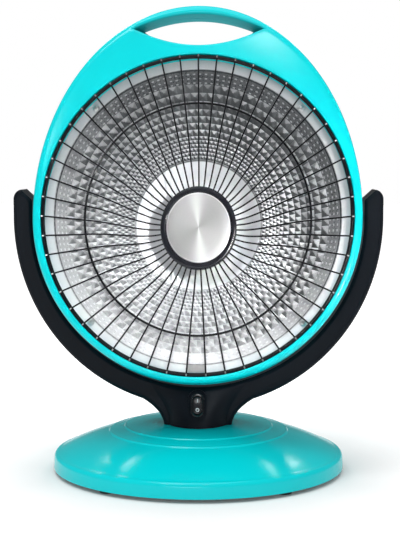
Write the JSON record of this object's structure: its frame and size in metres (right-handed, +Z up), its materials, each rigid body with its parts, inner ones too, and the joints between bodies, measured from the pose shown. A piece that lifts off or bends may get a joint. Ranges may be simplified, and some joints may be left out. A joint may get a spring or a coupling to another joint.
{
  "type": "parabolic heater",
  "caption": "Tilting parabolic room heater: egg-shaped teal head with carry handle, dished wire guard and dimpled reflector, on a black yoke over a round weighted base.",
  "frame": {"origin": "on the floor under the middle of the round base", "axes": "+Z up, the heater faces -Y, +X to the right of someone who looks at its face; the head's tilt axis lies along X"},
  "size_m": [0.3776, 0.302, 0.4818],
  "materials": {
    "teal_shell": "glossy injection-moulded shell",
    "black_shell": "satin blue-black moulding, finely textured",
    "black_trim": "satin black",
    "gloss_switch": "glossy black",
    "rubber": "matte black rubber",
    "reflector_aluminium": "bright embossed sheet with dimples, smooth cup and flat flange",
    "brushed_cap": "circular brushed",
    "steel": "zinc-plated steel",
    "guard_enamel": "black enamelled wire",
    "ceramic": "unglazed heater ceramic",
    "coil_wire": "oxidised resistance wire",
    "cast_ballast": "rough cast ring"
  },
  "bodies": {
    "stand": {"base_shell": "teal_shell", "base_plate": "steel", "ballast_ring": "cast_ballast", "cord_inlet_bush": "rubber", "tip_switch_body": "black_trim", "foot_1": "rubber", "foot_2": "rubber", "foot_3": "rubber", "foot_4": "rubber", "base_screw_1": "steel", "base_screw_2": "steel", "base_screw_3": "steel", "base_screw_4": "steel", "neck_screw_1": "steel", "neck_screw_2": "steel", "neck_screw_3": "steel", "neck_screw_4": "steel", "yoke_front_shell": "black_shell", "yoke_rear_shell": "black_shell", "switch_housing": "gloss_switch", "pivot_washer_left": "rubber", "pivot_washer_right": "rubber", "pivot_nut_left": "steel", "pivot_nut_right": "steel"},
    "head": {"front_housing": "teal_shell", "rear_housing": "teal_shell", "reflector": "reflector_aluminium", "guard_hub": "guard_enamel", "guard_sector_1": "guard_enamel", "guard_sector_2": "guard_enamel", "guard_sector_3": "guard_enamel", "guard_sector_4": "guard_enamel", "guard_sector_5": "guard_enamel", "guard_sector_6": "guard_enamel", "guard_middle_ring": "guard_enamel", "guard_clip": "steel", "cap_bezel": "black_trim", "centre_cap": "brushed_cap", "cap_nut": "steel", "element_core": "ceramic", "element_coil": "coil_wire", "element_socket": "ceramic", "thermal_cutout": "black_trim", "reflector_screw_1": "steel", "reflector_screw_2": "steel", "reflector_screw_3": "steel", "reflector_screw_4": "steel", "housing_screw_1": "steel", "housing_screw_2": "steel", "pivot_pin_left": "steel", "pivot_pin_right": "steel"},
    "power_rocker": {"switch_rocker": "gloss_switch"},
    "tip_plunger": {"tip_switch_plunger": "black_trim"}
  },
  "joints": [
    {"name": "head_tilt", "type": "hinge", "parent": "stand", "child": "head", "pos_m": [0, 0, 0.263], "axis": [-1, 0, 0], "range_deg": [-12, 14]},
    {"name": "rocker_press", "type": "hinge", "parent": "stand", "child": "power_rocker", "pos_m": [0, -0.03418, 0.07147], "axis": [-1, 0, 0], "range_deg": [0, 12]},
    {"name": "tip_plunger_slide", "type": "slide", "parent": "stand", "child": "tip_plunger", "axis": [0, 0, -1], "range_m": [0, 0.004], "stiffness_N_per_m": 30, "springref_m": 0.01}
  ]
}
